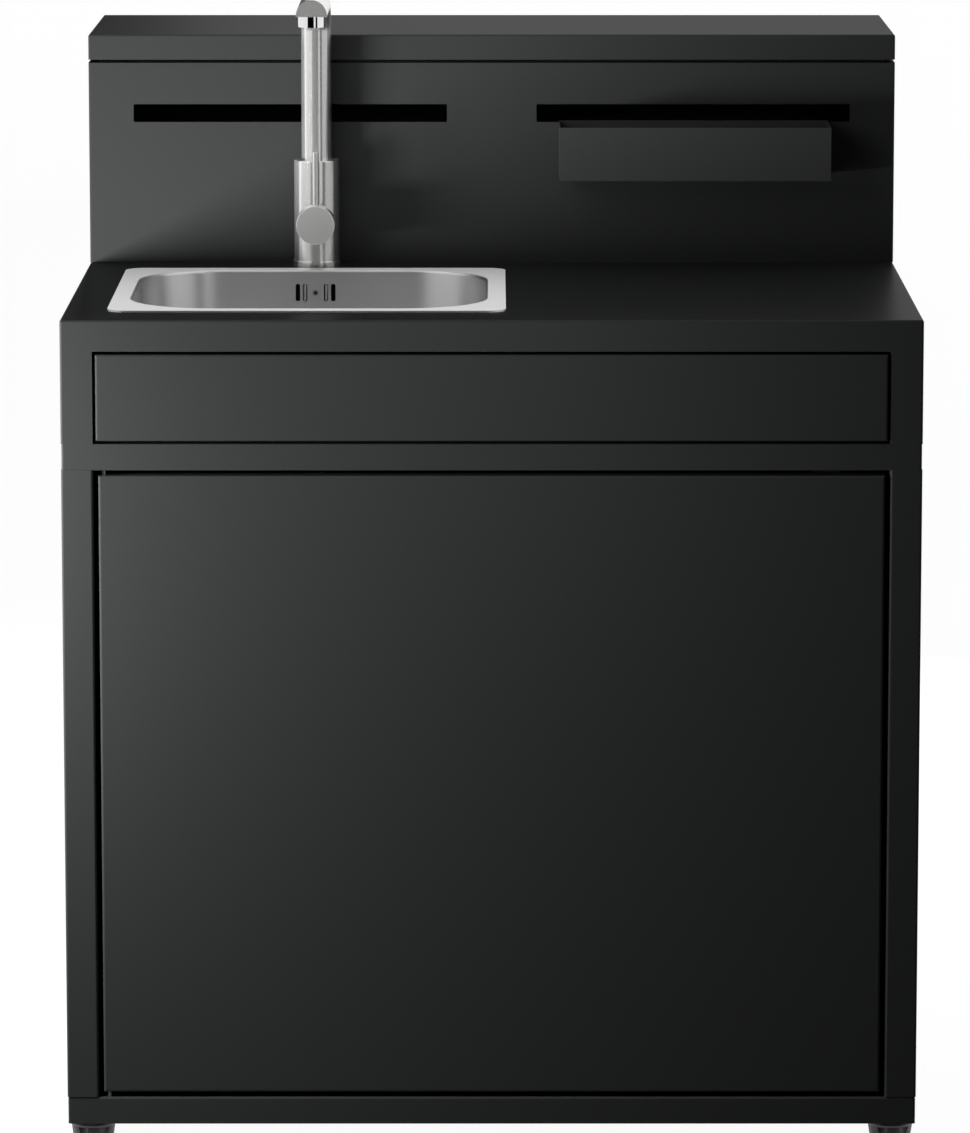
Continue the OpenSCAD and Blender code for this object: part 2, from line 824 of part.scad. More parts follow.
// Pressed bowl: flange with a rolled lip, flared mouth, straight walls and round floor edges
module sink_bowl() {
    color(stainless) at_sink() difference() {
        union() {
            post(sink_w, sink_d, rim_r, rim_z - bowl_t, rim_z);
            difference() {
                translate([0, 0, worktop_z]) rim_edge();
                post(sink_w - 2 * lip_t, sink_d - 2 * lip_t, rim_r - lip_t, worktop_z - eps, rim_z);
            }
            translate([0, 0, rim_z - bowl_t / 2])
                dish(bowl_w, bowl_d, bowl_r, -bowl_h - bowl_t / 2, 0)
                    bowl_profile(bowl_h + bowl_t / 2, bowl_r + bowl_t, floor_r + bowl_t, edge_r);
        }
        translate([0, 0, rim_z])
            dish(bowl_w, bowl_d, bowl_r, -bowl_h, eps) union() {
                bowl_profile(bowl_h, bowl_r, floor_r, edge_r);
                square([bowl_r + edge_r, eps]);
            }
        translate([0, 0, floor_z - 5]) cylinder(r = waste_r + waste_wall + 0.3, h = 10);
        overflow_slots(5);
        translate([0, bowl_d / 2 - 5, overflow_z]) along_y() cylinder(r = 2.7, h = 10);
    }
}

module rim_edge() {
    linear_extrude(rim_h) round_rect(sink_w, sink_d, rim_r);
}

module sink_gasket() {
    color(plastic) at_sink() difference() {
        post(sink_w - 2 * lip_t - 0.6, sink_d - 2 * lip_t - 0.6, rim_r - lip_t, worktop_z, rim_z - bowl_t);
        post(sink_w - 2 * seat_w, sink_d - 2 * seat_w, rim_r, worktop_z - eps, rim_z);
    }
}

// Clamp on the bowl's wall whose screw presses up under the worktop
module clip() {
    low = worktop_z - clip_drop;
    block([0, -8, low], [1.5, 8, worktop_z - sheet - 1]);
    block([0, -8, low], [clip_arm, 8, low + 1.5]);
    translate([clip_arm - 5, 0, low - 3]) cylinder(r = 2.5, h = worktop_z - sheet - low + 3);
}

module sink_clips() {
    wall_x = bowl_w / 2 + bowl_t;
    wall_y = bowl_d / 2 + bowl_t;
    color(stainless) at_sink() {
        for (s = [0, 180], y = [-clip_y, clip_y]) rotate([0, 0, s]) translate([wall_x, y, 0]) clip();
        for (x = [-clip_x, clip_x]) translate([x, -wall_y, 0]) rotate([0, 0, -90]) clip();
    }
}

// Overflow

module overflow_housing() {
    y0 = bowl_back;
    z0 = overflow_z - overflow_h / 2;
    wall = 2.5;
    color(plastic) translate([sink_cx, 0, 0]) difference() {
        union() {
            translate([0, y0 + overflow_d, overflow_z]) rotate([90, 0, 0])
                linear_extrude(overflow_d) round_rect(overflow_w, overflow_h, 8);
            translate([0, y0 + overflow_mid, z0 - 12]) cylinder(r = port_r, h = 14);
        }
        difference() {
            translate([0, y0 + overflow_d - wall, overflow_z]) rotate([90, 0, 0])
                linear_extrude(overflow_d) round_rect(overflow_w - 2 * wall, overflow_h - 2 * wall, 6);
            translate([0, y0 - eps, overflow_z]) along_y() cylinder(r = 5, h = overflow_d);
        }
        translate([0, y0 + overflow_mid, z0 - 12 - eps]) cylinder(r = port_r - 2, h = 20);
        translate([0, y0 - eps, overflow_z]) along_y() cylinder(r = 2.1, h = overflow_d - 2);
    }
}

module overflow_screw() {
    y = bowl_back - bowl_t;
    color(stainless) translate([sink_cx, y, overflow_z]) along_y() {
        translate([0, 0, -1.6]) cylinder(r = 3.6, h = 1.6);
        cylinder(r = 2, h = 16);
    }
}

// Ribbed hose from the overflow housing down and under the bowl to the waste body
overflow_start = [sink_cx, bowl_back + overflow_mid, overflow_z - overflow_h / 2 - 12];
overflow_end = [sink_cx, sink_y + port_y, port_z];
overflow_turn = overflow_start - [0, 0, 72];
overflow_route = concat(
    [for (k = [0 : 35]) overflow_start - [0, 0, 2 * k]],
    route([overflow_turn, overflow_turn - [0, 0, 45], overflow_end + [0, 85, 0], overflow_end + [0, 6, 0]], 70),
    [overflow_end + [0, 3, 0], overflow_end]
);

module overflow_hose() {
    color("#303234") ribbed_hose(overflow_route, 9, 11, 7, 8);
}

// Waste

module waste_body() {
    color(stainless) at_sink() difference() {
        union() {
            pipe(waste_r + waste_lip, waste_r, floor_z, floor_z + waste_wall);
            pipe(waste_r + waste_wall, waste_r, cup_z, floor_z + waste_wall);
            pipe(waste_r + waste_wall, neck_bore, cup_z, cup_z + waste_wall);
            pipe(neck_r, neck_bore, neck_z, cup_z + waste_wall);
            translate([0, waste_r - 1, port_z]) along_y() cylinder(r = port_r, h = port_y - waste_r + 1);
        }
        translate([0, waste_r - 6, port_z]) along_y() cylinder(r = port_r - 2, h = port_y - waste_r + 10);
        pipe(waste_r, 0.01, cup_z + waste_wall, floor_z + 2 * waste_wall);
    }
}

module waste_seal() {
    z = floor_z - bowl_t;
    color(plastic) at_sink() pipe(waste_r + waste_lip, waste_r + waste_wall + 0.2, z - seal_t, z);
}

module waste_clamp_nut() {
    z = floor_z - bowl_t - seal_t;
    r = waste_r + waste_lip + 3;
    color(plastic) at_sink() difference() {
        pipe(r, waste_r + waste_wall + 0.1, z - clamp_t, z);
        for (a = [0 : 45 : 315]) rotate([0, 0, a + 22.5]) translate([r + 2, 0, z - clamp_t - eps])
            cylinder(r = 5, h = clamp_t + 2 * eps);
    }
}

// Lift-out basket
module basket_strainer() {
    r = waste_r - 2.5;
    depth = 29;
    z0 = floor_z - depth;
    lip_z = floor_z + waste_wall;
    color(stainless) at_sink() {
        pipe(waste_r + 4, r - 1, lip_z, lip_z + 1);
        pipe(r, r - 1, z0, lip_z + 1);
        difference() {
            translate([0, 0, z0]) cylinder(r = r, h = 1.2);
            translate([0, 0, z0 - eps]) cylinder(r = stem_d / 2 + 0.1, h = 4);
            for (a = [0 : 45 : 315]) {
                rotate([0, 0, a]) translate([r * 0.75, 0, z0 - eps]) cylinder(r = 2.5, h = 4);
                rotate([0, 0, a + 22.5]) translate([r * 0.5, 0, z0 - eps]) cylinder(r = 2.5, h = 4);
            }
        }
    }
}

// Stopper, stem and knob, fixed through the basket's floor
module strainer_stem() {
    z0 = cup_z + waste_wall + 0.2;
    knob_z = floor_z + waste_wall + 5;
    color(stainless) at_sink() {
        translate([0, 0, z0]) cylinder(r = neck_bore + 2, h = 4);
        translate([0, 0, z0]) cylinder(r = stem_d / 2, h = knob_z - z0 + 1);
        translate([0, 0, knob_z]) cylinder(r = 9, h = 3.5);
    }
}

// Bottle trap under the waste body
module trap_body() {
    color(plastic) at_sink() difference() {
        union() {
            translate([0, 0, trap_top - 8]) cylinder(r = neck_r, h = 8);
            translate([0, 0, trap_top - 14]) cylinder(r1 = trap_r, r2 = neck_r + 2, h = 6);
            translate([0, 0, trap_low]) cylinder(r = trap_r, h = trap_top - 14 - trap_low);
            translate([0, trap_r - 4, pipe_z]) along_y() cylinder(r = pipe_r, h = outlet_y - trap_r + 4);
        }
        translate([0, 0, trap_low - eps]) cylinder(r = trap_r - trap_wall, h = trap_top - 18 - trap_low);
        translate([0, 0, trap_low]) cylinder(r = neck_bore - 3, h = trap_top - trap_low + eps);
        translate([0, trap_r - 8, pipe_z]) along_y()
            cylinder(r = pipe_r - pipe_wall, h = outlet_y - trap_r + 10);
    }
}

module trap_cup() {
    r = trap_r - trap_wall;
    z0 = trap_low - trap_h;
    color(plastic) at_sink() rotate_extrude() difference() {
        union() {
            translate([0, z0 + 10]) square([r, trap_h - 10]);
            translate([0, z0]) square([r - 10, 12]);
            translate([r - 10, z0 + 10]) circle(10);
            translate([0, trap_low - 10]) square([trap_r, 10]);
        }
        translate([0, z0 + 13]) square([r - trap_wall, trap_h]);
        translate([0, z0 + trap_wall]) square([r - 10, trap_h]);
        translate([-r, z0]) square([r, trap_h]);
    }
}

// Ribbed union nut along +Z
module union_nut(bore, r, h) {
    groove_r = 2.2;
    difference() {
        pipe(r, bore, 0, h);
        for (a = [0 : 30 : 330])
            rotate([0, 0, a]) translate([r + 1, 0, -eps]) cylinder(r = groove_r, h = h + 2 * eps);
    }
}

module trap_nuts() {
    nut_h = 18;
    neck_nut_h = 20;
    color("#303234") at_sink() {
        translate([0, 0, trap_top - 7]) union_nut(neck_r + 0.1, neck_r + 6, neck_nut_h);
        translate([0, 0, trap_low - 10]) union_nut(trap_r + 0.1, trap_r + 6, nut_h);
        translate([0, outlet_y - 9, pipe_z]) along_y() union_nut(pipe_r + 0.1, pipe_r + 6, nut_h);
    }
}

// Waste pipe out through the back panel, with a collar inside it and a stop ring for the drain hose outside
module waste_pipe() {
    y0 = sink_y + outlet_y;
    bead_y = panel_y - sheet - 4;
    stop_y = panel_y + 3;
    color(plastic) translate([sink_cx, 0, pipe_z]) difference() {
        union() {
            translate([0, y0, 0]) along_y() cylinder(r = pipe_r, h = pipe_end - y0);
            translate([0, bead_y, 0]) along_y() cylinder(r = pipe_r + 6, h = 4);
            translate([0, stop_y, 0]) along_y() cylinder(r = pipe_r + 2.5, h = 3);
        }
        translate([0, y0 - eps, 0]) along_y() cylinder(r = pipe_r - pipe_wall, h = pipe_end - y0 + 2 * eps);
    }
}

module pipe_grommet() {
    color("#303234") translate([sink_cx, panel_y - sheet, pipe_z]) along_y() {
        pipe(pipe_r + 4 - 0.1, pipe_r + 0.1, 0, sheet + 3);
        pipe(pipe_r + 8, pipe_r + 0.1, sheet, sheet + 3);
    }
}

// Tap

module at_tap() {
    translate([sink_cx, tap_y, worktop_z]) children();
}

// Upright round piece with a rounded top edge
module turned(r, z0, z1, edge) {
    rotate_extrude() {
        translate([0, z0]) square([r, z1 - z0 - edge]);
        translate([0, z0]) square([r - edge, z1 - z0]);
        intersection() {
            translate([r - edge, z1 - edge]) circle(edge);
            translate([0, z0]) square([r, z1 - z0]);
        }
    }
}

module tap_base_ring() {
    color(stainless) at_tap() difference() {
        turned(ring_d / 2, 0, ring_h, 1);
        translate([0, 0, -eps]) cylinder(r = shank_r + fit_gap, h = ring_h + 2 * eps);
    }
}

module tap_body() {
    color(stainless) at_tap() difference() {
        turned(body_d / 2, ring_h, body_top, 1.2);
        translate([0, 0, body_top - socket_h - 1]) cylinder(r = socket_r + fit_gap, h = socket_h + 1 + eps);
        translate([0, 0, hub_z]) rotate([90, 0, 0]) cylinder(r = stem_rod + fit_gap, h = body_d);
        translate([0, -neck_seat, hub_z]) rotate([90, 0, 0]) cylinder(r = neck_r_out + fit_gap, h = body_d);
    }
}

// Neck pressed into the tap's body, which guides the mixer stem
module tap_neck() {
    color(stainless) at_tap() translate([0, -neck_seat, hub_z]) rotate([90, 0, 0])
        pipe(neck_r_out, stem_rod + fit_gap, 0, neck_out - neck_seat);
}

module tap_shank() {
    color("#b08d57") at_tap() pipe(shank_r, shank_bore, -shank_h, ring_h);
}

module tap_fixing() {
    z = -sheet;
    color("#b08d57") at_tap() {
        pipe(ring_d / 2, shank_r + 0.1, z - 4, z);
        difference() {
            translate([0, 0, z - 16]) cylinder(r = 22, h = 12, $fn = 6);
            translate([0, 0, z - 17]) cylinder(r = shank_r + 0.1, h = 14);
        }
    }
}

// Spout: riser, bend and level arm in one tube, cut away below at its end for the aerator
module spout() {
    bore = spout_r - spout_wall;
    straight = arm_z - spout_bend;
    nose = aerator_d + 1;
    cut_z = arm_z - 1.7;
    color(stainless) at_tap() difference() {
        union() {
            translate([0, 0, body_top]) cylinder(r = spout_r, h = straight - body_top);
            translate([0, 0, body_top - socket_h]) cylinder(r = socket_r, h = socket_h + eps);
            spout_elbow(spout_r);
            translate([0, -spout_bend, arm_z])
                rotate([90, 0, 0]) cylinder(r = spout_r, h = spout_l - spout_bend);
        }
        translate([0, 0, body_top - socket_h - eps])
            cylinder(r = bore, h = straight - body_top + socket_h + eps);
        spout_elbow(bore);
        translate([0, -spout_bend, arm_z])
            rotate([90, 0, 0]) cylinder(r = bore, h = spout_l - spout_bend - 3);
        block([-spout_r - eps, -spout_l - eps, arm_z - spout_r - eps], [spout_r + eps, -spout_l + nose, cut_z]);
    }
}

module spout_elbow(r) {
    translate([0, -spout_bend, arm_z - spout_bend]) rotate([90, 0, 90])
        rotate_extrude(angle = 90) translate([spout_bend, 0]) circle(r);
}

module aerator() {
    h = 11.6;
    r = aerator_d / 2;
    z1 = arm_z - 1.7;
    slat = 1.2;
    color("#d8dadb") at_tap() translate([0, -spout_l + r + 0.5, z1 - h]) {
        difference() {
            cylinder(r = r, h = h);
            translate([0, 0, -eps]) cylinder(r = r - 3, h = 4 + eps);
        }
        for (k = [-2 : 2]) translate([k * 4.5 - slat / 2, -r + 4.5, 2]) cube([slat, 2 * r - 9, 3]);
    }
}

// Stem in the tap's neck, ending in the ball that the handle tilts on
module mixer_stem() {
    rod_end = ball_y - ball_r + 2;
    color("#c9cbcc") at_tap() translate([0, 0, hub_z]) {
        translate([0, -2, 0]) rotate([90, 0, 0]) cylinder(r = stem_rod, h = rod_end);
        translate([0, -ball_y, 0]) sphere(ball_r);
    }
}

module handle_cap() {
    r = hub_d / 2;
    color(stainless) at_tap() translate([0, -cap_y0, hub_z]) rotate([90, 0, 0]) difference() {
        union() {
            difference() {
                turned(r, 0, cap_y1 - cap_y0, 0.8);
                translate([0, 0, -eps]) cylinder(r = r - cap_wall, h = cap_y1 - cap_y0 - cap_front + eps);
            }
            translate([0, 0, ball_y - cap_y0 + ball_r + run_gap])
                cylinder(r = 6, h = cap_y1 - ball_y - ball_r - run_gap - 1);
        }
    }
}

module lever_pin() {
    z0 = hub_z + hub_d / 2 - 0.4;
    color(stainless) at_tap() translate([0, -lever_y, 0]) difference() {
        turned(lever_d / 2, z0, lever_top, 0.8);
        translate([0, lever_y, hub_z]) rotate([90, 0, 0]) cylinder(r = hub_d / 2, h = 2 * lever_y);
    }
}

// Supply

function inlet_x(s) = sink_cx + s * inlet_dx;
tail_y = panel_y - tail_l;

// Both inlets, on the back panel's outer face, looking out
module at_inlets() {
    for (s = [-1, 1]) translate([inlet_x(s), panel_y, inlet_z]) children();
}

// Bulkhead inlet: hex flange and hose thread outside, plain tail inside
module water_inlets() {
    hex_l = 6;
    tail_r = thread_r - 3.2;
    color("#b08d57") at_inlets() along_y() difference() {
        union() {
            cylinder(r = thread_r + 5, h = hex_l, $fn = 6);
            translate([0, 0, hex_l]) cylinder(r = thread_r, h = thread_l);
            translate([0, 0, -tail_l + ferrule_l]) cylinder(r = tail_r, h = tail_l - ferrule_l + eps);
        }
        translate([0, 0, -tail_l]) cylinder(r = 6, h = 2 * tail_l);
    }
}

module inlet_nuts() {
    color("#b08d57") at_inlets() along_y() difference() {
        translate([0, 0, -sheet - 8]) cylinder(r = 16, h = 8, $fn = 6);
        translate([0, 0, -sheet - 9]) cylinder(r = thread_r - 3.1, h = 10);
    }
}

// Crimped ferrules between the hoses and the inlets
module hose_ferrules() {
    color(stainless) at_inlets() translate([0, -tail_l, 0]) along_y()
        pipe(hose_r + 2, hose_r - 2, 0, ferrule_l);
}

function hose_route(s) =
    let (
        a = [sink_cx + s * tail_x, tap_y, worktop_z + ring_h],
        b = [inlet_x(s), tail_y, inlet_z],
        hang = a + [s * hose_side, 0, -hose_drop],
        lead = b - [0, hose_lead, 0]
    )
    concat([a], route([a - [0, 0, shank_h + 12], hang, lead, b - [0, 12, 0]], 22), [b]);

module cold_hose() {
    color("#8f9294") hose(hose_route(-1), hose_r, 10);
}

module hot_hose() {
    color("#8f9294") hose(hose_route(1), hose_r, 10);
}

base_tray();
foot_inserts();
side_panel_left();
side_panel_right();
back_panel();
back_panel_screws();
mid_frame();
worktop_module();
front_panel();
front_panel_screws();
backsplash_shell();
backsplash_back();
lid_buffers();
lid_hinge_fixed();
upper_pivot_pin();
lower_pivot_pin();
latch_body();
latch_plunger();
door_panel();
door_liner();
door_bushes();
strike_plate();
lid();
lid_hinge_moving();
hanging_box();
sink_bowl();
sink_gasket();
sink_clips();
overflow_housing();
overflow_screw();
overflow_hose();
waste_body();
waste_seal();
waste_clamp_nut();
basket_strainer();
strainer_stem();
trap_body();
trap_cup();
trap_nuts();
waste_pipe();
pipe_grommet();
tap_base_ring();
tap_body();
tap_neck();
tap_shank();
tap_fixing();
spout();
aerator();
mixer_stem();
handle_cap();
lever_pin();
cold_hose();
hot_hose();
hose_ferrules();
water_inlets();
inlet_nuts();
foot_front_left();
foot_front_right();
foot_back_left();
foot_back_right();
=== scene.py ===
import json
import math

import bmesh
import bpy
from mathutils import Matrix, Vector


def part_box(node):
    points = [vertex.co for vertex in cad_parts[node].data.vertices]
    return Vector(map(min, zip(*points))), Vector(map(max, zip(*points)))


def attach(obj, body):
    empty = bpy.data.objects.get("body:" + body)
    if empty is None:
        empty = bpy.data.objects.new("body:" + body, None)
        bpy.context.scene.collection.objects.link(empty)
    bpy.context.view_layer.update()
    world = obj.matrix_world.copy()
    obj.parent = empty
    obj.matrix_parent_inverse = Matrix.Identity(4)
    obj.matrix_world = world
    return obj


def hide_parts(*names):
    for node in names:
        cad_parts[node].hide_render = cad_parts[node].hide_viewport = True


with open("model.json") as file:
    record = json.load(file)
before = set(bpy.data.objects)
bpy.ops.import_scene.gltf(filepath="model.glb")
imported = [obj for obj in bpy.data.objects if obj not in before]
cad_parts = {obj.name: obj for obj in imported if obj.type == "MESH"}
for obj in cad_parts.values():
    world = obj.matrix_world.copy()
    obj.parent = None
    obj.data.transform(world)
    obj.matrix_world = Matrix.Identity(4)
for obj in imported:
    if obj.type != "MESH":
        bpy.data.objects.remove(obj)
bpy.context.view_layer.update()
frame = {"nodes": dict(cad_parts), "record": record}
scene = bpy.context.scene
nodes = frame["nodes"]


# Camera

def make_camera():
    """Long lens that looks down at the unit, with the shifts that the photograph's framing needs."""
    place, down = (0.0, -6.8533, 1.7138), 8.8895
    data = bpy.data.cameras.new("camera")
    cam = bpy.data.objects.new("camera", data)
    scene.collection.objects.link(cam)
    data.sensor_width = 36.0
    data.lens = 198.64
    data.shift_x = -0.0059
    data.shift_y = -0.0618
    data.clip_end = 100.0
    cam.location = place
    cam.rotation_euler = (math.radians(90.0 - down), 0.0, 0.0)
    scene.camera = cam


make_camera()


# Materials

class Mat:
    """A node material with a few helpers for procedural textures."""

    def __init__(self, name, **inputs):
        self.mat = bpy.data.materials.new(name)
        self.mat.use_nodes = True
        self.tree = self.mat.node_tree
        self.shader = self.tree.nodes["Principled BSDF"]
        for key, value in inputs.items():
            self.set(key, value)

    def set(self, key, value):
        if isinstance(value, tuple):
            value = (*value, 1.0)
        self.shader.inputs[key.replace("_", " ")].default_value = value

    def add(self, kind, **settings):
        """New node: a setting is the value of an input of that name, or else an attribute of the node."""
        node = self.tree.nodes.new(kind)
        for key, value in settings.items():
            if key in node.inputs:
                node.inputs[key].default_value = value
            else:
                setattr(node, key, value)
        return node

    def link(self, a, out, b, inp):
        self.tree.links.new(a.outputs[out], b.inputs[inp])

    def coords(self, scale):
        tex = self.add("ShaderNodeTexCoord")
        mapping = self.add("ShaderNodeMapping")
        mapping.inputs["Scale"].default_value = scale
        self.link(tex, "Object", mapping, "Vector")
        return mapping

    def noise(self, scale, detail=3.0, stretch=(1.0, 1.0, 1.0)):
        node = self.add("ShaderNodeTexNoise", Scale=scale, Detail=detail)
        self.link(self.coords(stretch), "Vector", node, "Vector")
        return node

    def ramp(self, source, out, lo, hi, a, b):
        """Node that takes the source's values from lo to hi over to a to b."""
        node = self.add("ShaderNodeMapRange")
        for key, value in (("From Min", lo), ("From Max", hi), ("To Min", a), ("To Max", b)):
            node.inputs[key].default_value = value
        self.link(source, out, node, "Value")
        return node

    def bump(self, source, out, strength, distance):
        node = self.add("ShaderNodeBump", Strength=strength, Distance=distance)
        self.link(source, out, node, "Height")
        self.link(node, "Normal", self.shader, "Normal")


def powder_coat(name, colour):
    """Matt colour under a thin satin coat, with the fine grain of sprayed powder."""
    m = Mat(name, Base_Color=colour, Roughness=0.7, Specular_IOR_Level=0.0,
            Coat_Weight=0.26, Coat_Roughness=0.34, Coat_IOR=1.5)
    m.bump(m.noise(scale=900.0, detail=2.0), "Fac", strength=0.06, distance=0.0004)
    return m.mat


def grained_metal(name, stretch, bump):
    """Metal with a fine grain, which is denser along an axis with a larger stretch."""
    m = Mat(name, Metallic=1.0)
    lines = m.noise(scale=100.0, detail=2.0, stretch=stretch)
    m.bump(lines, "Fac", bump, distance=0.0001)
    return m


def metal(name, colour, rough, stretch, bump=0.05):
    """Grained metal of one colour, whose roughness drifts a little from place to place."""
    drift, noise_low, noise_high = 0.08, 0.3, 0.7
    m = grained_metal(name, stretch, bump)
    m.set("Base Color", colour)
    cloud = m.noise(scale=6.0, detail=2.0)
    level = m.ramp(cloud, "Fac", noise_low, noise_high, rough * (1.0 - drift), rough * (1.0 + drift))
    m.link(level, "Result", m.shader, "Roughness")
    return m


def steel(name, colour, rough, stretch, bump=0.05):
    return metal(name, colour, rough, stretch, bump).mat


def brush_level(m, amount):
    """Brushing in level lines: highlights draw out up and down the surface."""
    m.set("Anisotropic", amount)
    upright = m.add("ShaderNodeCombineXYZ", X=0.0, Y=0.05, Z=1.0)
    m.link(upright, "Vector", m.shader, "Tangent")


def tap_steel(name, colour, rough):
    """Brushed steel of the tap, whose lines run round its upright tubes."""
    m = metal(name, colour, rough, (1.0, 1.0, 60.0))
    m.set("Metallic", 0.88)
    brush_level(m, 0.8)
    return m.mat


def basin_steel():
    """Drawn sink steel: satin walls, and a rougher brushed flange from flange_z up, whose paler colour is a
    painted highlight for the light that the flange catches.
    """
    flange_deep, fade = 0.0022, 0.001
    flange_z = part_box("sink_bowl")[1][2] - flange_deep
    # The flange's paler base colour is painted highlight; its higher roughness is the brushed finish.
    flange_roughness_and_painted_highlight = {"Roughness": (0.40, 0.5), "Base Color": (0.70, 0.86)}
    m = grained_metal("steel_basin", (2.0, 30.0, 30.0), 0.03)
    brush_level(m, 0.85)
    place = m.add("ShaderNodeTexCoord")
    split = m.add("ShaderNodeSeparateXYZ")
    m.link(place, "Object", split, "Vector")
    for socket, (walls, flange) in flange_roughness_and_painted_highlight.items():
        level = m.ramp(split, "Z", flange_z, flange_z + fade, walls, flange)
        m.link(level, "Result", m.shader, socket)
    return m.mat


def plastic(name, colour, rough, bump=0.1):
    m = Mat(name, Base_Color=colour, Roughness=rough)
    m.bump(m.noise(scale=700.0), "Fac", bump, distance=0.0003)
    return m.mat


def braid():
    """Woven wire: strands cross in two directions, read from the tube's own unwrap."""
    strands, pitch = 10, 0.011
    shine, dull = 0.25, 0.55
    m = Mat("hose_braid", Base_Color=(0.42, 0.43, 0.44), Metallic=1.0)
    place = m.add("ShaderNodeTexCoord")
    weave = m.add("ShaderNodeMath", operation="MULTIPLY")
    for k, lean in enumerate((1.0, -1.0)):
        turn = m.add("ShaderNodeVectorMath", operation="DOT_PRODUCT")
        turn.inputs[1].default_value = (2.0 * math.pi * strands, lean * 2.0 * math.pi / pitch, 0.0)
        m.link(place, "UV", turn, 0)
        wave = m.add("ShaderNodeMath", operation="SINE")
        m.link(turn, "Value", wave, 0)
        m.link(wave, "Value", weave, k)
    m.bump(weave, "Value", strength=0.6, distance=0.0005)
    m.link(m.ramp(weave, "Value", -1.0, 1.0, dull, shine), "Result", m.shader, "Roughness")
    return m.mat


BLACK = powder_coat("powder_coat", (0.0245, 0.0255, 0.0255))
# The hanging box's coat is paler than the unit's black: painted light, for the even light that falls on the
# box.
BLACK_BOX_PAINTED_LIGHT = powder_coat("powder_coat_box_painted_light", (0.034, 0.035, 0.035))
BRUSHED = tap_steel("steel_tap", (0.74, 0.74, 0.73), 0.23)
CAP_STEEL = tap_steel("steel_cap", (0.90, 0.90, 0.89), 0.36)
BASIN = basin_steel()
PLAIN = steel("steel_plain", (0.50, 0.50, 0.49), 0.32, (12.0, 12.0, 12.0))
CHROME = steel("chrome", (0.80, 0.81, 0.82), 0.08, (20.0, 20.0, 20.0), 0.005)
BRASS = steel("brass", (0.62, 0.43, 0.19), 0.32, (12.0, 12.0, 12.0))
DARK_PLASTIC = plastic("plastic_dark", (0.012, 0.012, 0.013), 0.42)
GREY_PLASTIC = plastic("plastic_grey", (0.52, 0.53, 0.54), 0.4)
RUBBER = plastic("rubber", (0.014, 0.014, 0.014), 0.75, 0.25)
BRAID = braid()

FINISH = {
    "powder_black": BLACK,
    "stainless_brushed": BRUSHED,
    "stainless_plain": PLAIN,
    "chrome": CHROME,
    "brass": BRASS,
    "plastic_black": DARK_PLASTIC,
    "plastic_grey": GREY_PLASTIC,
    "rubber_black": RUBBER,
    "hose_braid": BRAID,
}
for part in frame["record"]["subparts"]:
    obj = nodes[part["node"]]
    obj.data.materials.clear()
    obj.data.materials.append(FINISH[part["material_slot"]])
nodes["sink_bowl"].data.materials[0] = BASIN
nodes["handle_cap"].data.materials[0] = CAP_STEEL
nodes["hanging_box"].data.materials[0] = BLACK_BOX_PAINTED_LIGHT


# Mesh pieces

def new_piece(name, verts, faces, mat, slot, smooth=True):
    """Closed mesh piece on the body of the unit, with its normals outwards."""
    mesh = bpy.data.meshes.new(name)
    mesh.from_pydata(verts, [], faces)
    shell = bmesh.new()
    shell.from_mesh(mesh)
    bmesh.ops.recalc_face_normals(shell, faces=shell.faces)
    shell.to_mesh(mesh)
    shell.free()
    mesh.polygons.foreach_set("use_smooth", [smooth] * len(mesh.polygons))
    obj = bpy.data.objects.new(name, mesh)
    scene.collection.objects.link(obj)
    mesh.materials.append(mat)
    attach(obj, "unit")
    return obj


def tube(name, path, radii, sides, mat, slot):
    """Closed tube round a path, unwrapped to turns round it and metres along it."""
    verts, faces, unwrap = [], [], []
    last = len(path) - 1
    along = lengths_along(path)
    for i, centre in enumerate(path):
        ahead = (path[min(i + 1, last)] - path[max(i - 1, 0)]).normalized()
        u = Vector((1.0, 0.0, 0.0)).cross(ahead).normalized()
        v = ahead.cross(u)
        for k in range(sides):
            turn = 2.0 * math.pi * k / sides
            verts.append(centre + radii[i] * (math.cos(turn) * u + math.sin(turn) * v))
    for i in range(last):
        for k in range(sides):
            a, b = i * sides + k, i * sides + (k + 1) % sides
            faces.append((a, b, b + sides, a + sides))
            unwrap += [(k / sides, along[i]), ((k + 1) / sides, along[i]),
                       ((k + 1) / sides, along[i + 1]), (k / sides, along[i + 1])]
    for ring, start in ((range(sides - 1, -1, -1), 0), (range(sides), last * sides)):
        faces.append([start + k for k in ring])
        unwrap += [(k / sides, along[start // sides]) for k in ring]
    obj = new_piece(name, verts, faces, mat, slot)
    layer = obj.data.uv_layers.new(name="unwrap")
    for loop, place in zip(layer.data, unwrap):
        loop.uv = place
    return obj


def bezier(ends, steps):
    """Points on the cubic curve with these four control points, in mm."""
    pts = []
    for i in range(steps + 1):
        t = i / steps
        weights = ((1 - t) ** 3, 3 * t * (1 - t) ** 2, 3 * t * t * (1 - t), t ** 3)
        pts.append([sum(w * p[axis] for w, p in zip(weights, ends)) for axis in range(3)])
    return pts


def in_metres(points):
    return [Vector(p) / 1000.0 for p in points]


def lengths_along(path):
    """Distance of each point from the start of the path."""
    along = [0.0]
    for a, b in zip(path, path[1:]):
        along.append(along[-1] + (b - a).length)
    return along


def evenly(path, step):
    """The same path with points about one step apart."""
    along = lengths_along(path)
    count = round(along[-1] / step)
    out, i = [], 0
    for n in range(count + 1):
        want = along[-1] * n / count
        while i < len(path) - 2 and along[i + 1] < want:
            i += 1
        share = (want - along[i]) / (along[i + 1] - along[i])
        out.append(path[i].lerp(path[i + 1], min(share, 1.0)))
    return out


# Hoses

SINK_X = -195.0  # middle of the sink, the tap and the overflow, in mm


